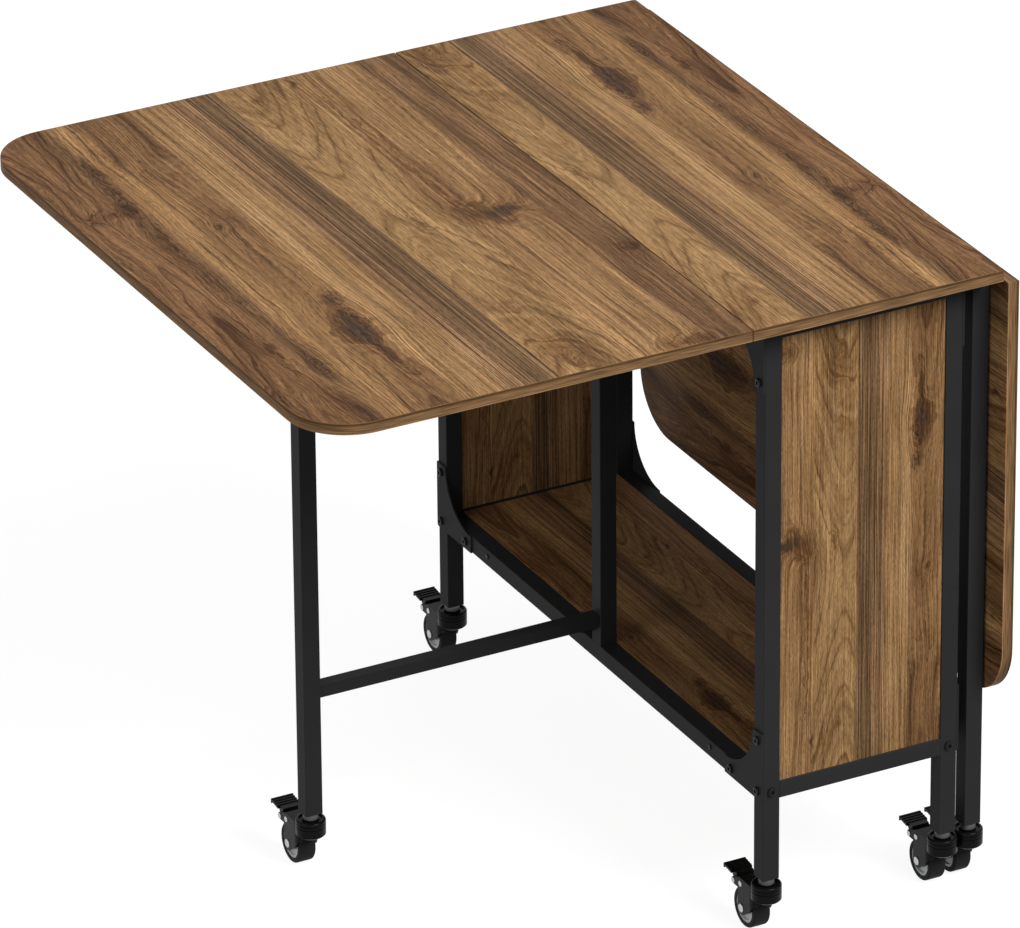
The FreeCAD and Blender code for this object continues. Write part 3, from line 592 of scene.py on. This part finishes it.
for board, layout in BOARDS.items():
    paint(board, walnut_board("Walnut melamine " + board.replace("_", " "), *layout))
print("boards:", list(BOARDS))

# %% [markdown]
# ## Metal, plastic and rubber
#
# The tubes and plates are mild steel with a charcoal powder coat. The casters are moulded nylon, glossy
# and black, with a grey hub, a rubber tread and zinc-plated rivets. A plain colour would look like a
# drawing, so each finish lets its tone, gloss and relief vary a little. The specks of real powder, plating
# and moulds are finer than these grains, which are drawn as coarse as they need to be to show.

# %% Plain finish
CLOUD_SIZE = 60.0
GLOSS_CHANGE = 0.16
SPECK_RELIEF = 0.4


def finish(name, colour, roughness, metallic=0.0, grain=0.5, relief=0.02, tone_change=0.12, specular=0.5):
    """A surface whose tone, gloss and relief vary with noise; grain and relief are in mm."""
    material, tree, shader = new_material(name)
    place = add(tree, "TexCoord").outputs["Object"]
    speck = add(tree, "TexNoise", {"Vector": place, "Scale": 1 / (grain * MM), "Detail": 3.0})
    cloud = add(tree, "TexNoise", {"Vector": place, "Scale": 1 / (CLOUD_SIZE * MM), "Detail": 2.0})
    tone = add(tree, "Math", {0: cloud, 1: 2 * tone_change, 2: 1 - tone_change}, operation="MULTIPLY_ADD")
    shaded = add(tree, "VectorMath", {0: linear(colour)[:3], "Scale": tone}, operation="SCALE")
    gloss = add(tree, "Math", {0: speck, 1: GLOSS_CHANGE, 2: roughness - GLOSS_CHANGE / 2},
                operation="MULTIPLY_ADD")
    bump = add(tree, "Bump", {"Strength": SPECK_RELIEF, "Distance": relief * MM, "Height": speck})
    tree.links.new(shaded.outputs[0], shader.inputs["Base Color"])
    tree.links.new(gloss.outputs[0], shader.inputs["Roughness"])
    tree.links.new(bump.outputs[0], shader.inputs["Normal"])
    shader.inputs["Metallic"].default_value = metallic
    shader.inputs["Specular IOR Level"].default_value = specular
    return material


print("gloss varies by", GLOSS_CHANGE, "over clouds of", CLOUD_SIZE, "mm")

# %% [markdown]
# The record names a material slot for each piece, so one finish is made for each slot. Painting piece by
# piece would also do, but this way every caster gets the same nylon and every bolt the same steel.

# %% Plain finishes by slot
FINISHES = {
    # Powder baked on steel flows into a fine orange peel, so lamps leave a broad dull sheen on it.
    "frame_powder_coat": finish("Charcoal powder coat", "#303031", 0.48, grain=0.9, relief=0.03,
                                specular=0.03),
    # Blackened in hot salts and oiled, so the bolt heads stay dark with a soft shine.
    "black_bolts": finish("Black oxide steel", "#181819", 0.38, grain=0.6, specular=0.12),
    # Plated in a bath, which leaves bright metal with a faint milky spangle.
    "zinc_steel": finish("Zinc-plated steel", "#b9bbbd", 0.34, metallic=1.0, grain=0.7, tone_change=0.08),
    # Stamped and tumbled before plating, so the collar is a duller grey.
    "caster_stem": finish("Grey zinc collar", "#66676a", 0.45, metallic=0.4, grain=0.7, tone_change=0.08),
    # Injected into a textured mould, so the plugs are matt.
    "cap_plastic": finish("Black polyethylene cap", "#161616", 0.45, grain=0.6, specular=0.08),
    # Injected into a polished mould, so the forks and pedals are glossy and nearly black.
    "caster_housing": finish("Glossy black nylon", "#0d0d0d", 0.26, grain=1.5, relief=0.01, specular=0.07),
    # Cast rubber with a fine bloom on it, dull and a little lighter than the nylon.
    "caster_tyre": finish("Black rubber tread", "#2a2a2a", 0.62, grain=0.5, specular=0.05),
    # Moulded with a grey metallic pigment, which gives the hub a silvery satin.
    "caster_hub": finish("Grey moulded hub", "#b6b8ba", 0.42, metallic=0.2, grain=0.8, tone_change=0.05),
    # Headed cold and plated, so each rivet is a small bright dome.
    "caster_rivets": finish("Zinc-plated rivet", "#b2b4b6", 0.30, metallic=1.0, grain=0.6,
                            tone_change=0.05),
}
plain = [row for row in frame["record"]["subparts"] if row["material_slot"] in FINISHES]
for row in plain:
    paint(row["node"], FINISHES[row["material_slot"]])
print("nodes with plain finishes:", len(plain))

# %% [markdown]
# ## The studio
#
# The photograph is a cut-out on white. A white floor lit until it is white would also flood the table with
# light from below. Here the floor is a wide grey plane that adds its own glow only for the camera and for
# reflections, so it reads as white and still takes a faint shadow. From below it is clear, so that the
# table's underside can be looked at.

# %% Floor
FLOOR_SIZE = 60.0
FLOOR_TONE = "#7b7b7b"
FLOOR_GLOW = 0.9
WHITE = (1, 1, 1, 1)


def seen_white(tree):
    """1 for rays from the camera, from a shiny surface or through a clear one, 0 for light on the table."""
    ray = add(tree, "LightPath")
    shiny = add(tree, "Math", {0: ray.outputs["Is Glossy Ray"], 1: ray.outputs["Is Transmission Ray"]},
                operation="MAXIMUM")
    return add(tree, "Math", {0: ray.outputs["Is Camera Ray"], 1: shiny}, operation="MAXIMUM")


def floor_material():
    """Matt white card, near-white from above and clear from below."""
    material = bpy.data.materials.new("White studio floor")
    tree = empty_tree(material)
    card = add(tree, "BsdfDiffuse", {"Color": linear(FLOOR_TONE)})
    glow = add(tree, "Emission", {"Color": WHITE, "Strength": FLOOR_GLOW})
    lit = add(tree, "AddShader", {0: card, 1: glow})
    shown = add(tree, "MixShader", {0: seen_white(tree), 1: card, 2: lit})
    below = add(tree, "NewGeometry").outputs["Backfacing"]
    clear = add(tree, "BsdfTransparent")
    add(tree, "OutputMaterial", {"Surface": add(tree, "MixShader", {0: below, 1: shown, 2: clear})})
    return material


half = FLOOR_SIZE / 2
corners = [(-half, -half, 0), (half, -half, 0), (half, half, 0), (-half, half, 0)]
mesh = bpy.data.meshes.new("studio_floor")
mesh.from_pydata(corners, [], [(0, 1, 2, 3)])
mesh.materials.append(floor_material())
floor = bpy.data.objects.new("studio_floor", mesh)
bpy.context.scene.collection.objects.link(floor)
print("floor side in metres:", FLOOR_SIZE)

# %% [markdown]
# An even white dome gives the soft shade between the boards. It is dimmer for light that falls on the
# table than for the camera, which sees it as plain white behind the top.

# %% Dome
DOME_STRENGTH = 0.42
world = bpy.data.worlds.new("White dome")
bpy.context.scene.world = world
world_tree = empty_tree(world)
level = add(world_tree, "MapRange", {0: seen_white(world_tree), 3: DOME_STRENGTH, 4: 1.0})
sky = add(world_tree, "Background", {"Color": WHITE, "Strength": level})
add(world_tree, "OutputWorld", {"Surface": sky})
print("dome strength on the table:", DOME_STRENGTH)

# %% [markdown]
# One broad lamp in front and above lifts the top and the front end, and a weak one on the left keeps the
# posts' left sides from going black. Small lamps or a sun would draw hard shadows that a studio's soft
# boxes don't.

# %% Lamps
LAMP_SIZE = 3.0
# place in metres and power in watts
LAMPS = {
    "key": ((1.8, -4.8, 5.4), 390.0),
    "left_fill": ((-5.5, -1.5, 3.0), 60.0),
}
aim = (cad_low + cad_high) / 2
for name, (place, power) in LAMPS.items():
    lamp = bpy.data.lights.new(name, "AREA")
    lamp.size = LAMP_SIZE
    lamp.energy = power
    holder = bpy.data.objects.new(name, lamp)
    holder.location = place
    holder.rotation_euler = (aim - Vector(place)).to_track_quat("-Z", "Y").to_euler()
    bpy.context.scene.collection.objects.link(holder)
print("lamps:", list(LAMPS))

# %% [markdown]
# ## The camera
#
# The table's straight edges fix the view: a long lens, about 27 degrees above the floor and turned about
# 28 degrees to the left of the front end. A camera could be pointed with a constraint, but three angles
# and a place say exactly where it stands.

# %% Camera
LENS = 328.645
SENSOR_WIDTH = 36.0
FARTHEST_SEEN = 100.0
CAMERA_PLACE = Vector((-4.1223, -7.9070, 4.8723))
AZIMUTH = math.radians(-27.6885)
ELEVATION = math.radians(26.4847)
ROLL = math.radians(-0.4839)
back = Vector((math.sin(AZIMUTH) * math.cos(ELEVATION), -math.cos(AZIMUTH) * math.cos(ELEVATION),
               math.sin(ELEVATION)))
right = Vector((math.cos(AZIMUTH), math.sin(AZIMUTH), 0))
up = back.cross(right)
turn = Matrix((right, up, back)).transposed() @ Matrix.Rotation(ROLL, 3, "Z")
camera_data = bpy.data.cameras.new("camera")
camera_data.sensor_width = SENSOR_WIDTH
camera_data.lens = LENS
camera_data.clip_end = FARTHEST_SEEN
camera = bpy.data.objects.new("camera", camera_data)
camera.matrix_world = Matrix.Translation(CAMERA_PLACE) @ turn.to_4x4()
bpy.context.scene.collection.objects.link(camera)
bpy.context.scene.camera = camera
bpy.context.scene.view_settings.view_transform = "Standard"
print("camera at", [round(v, 3) for v in camera.location])
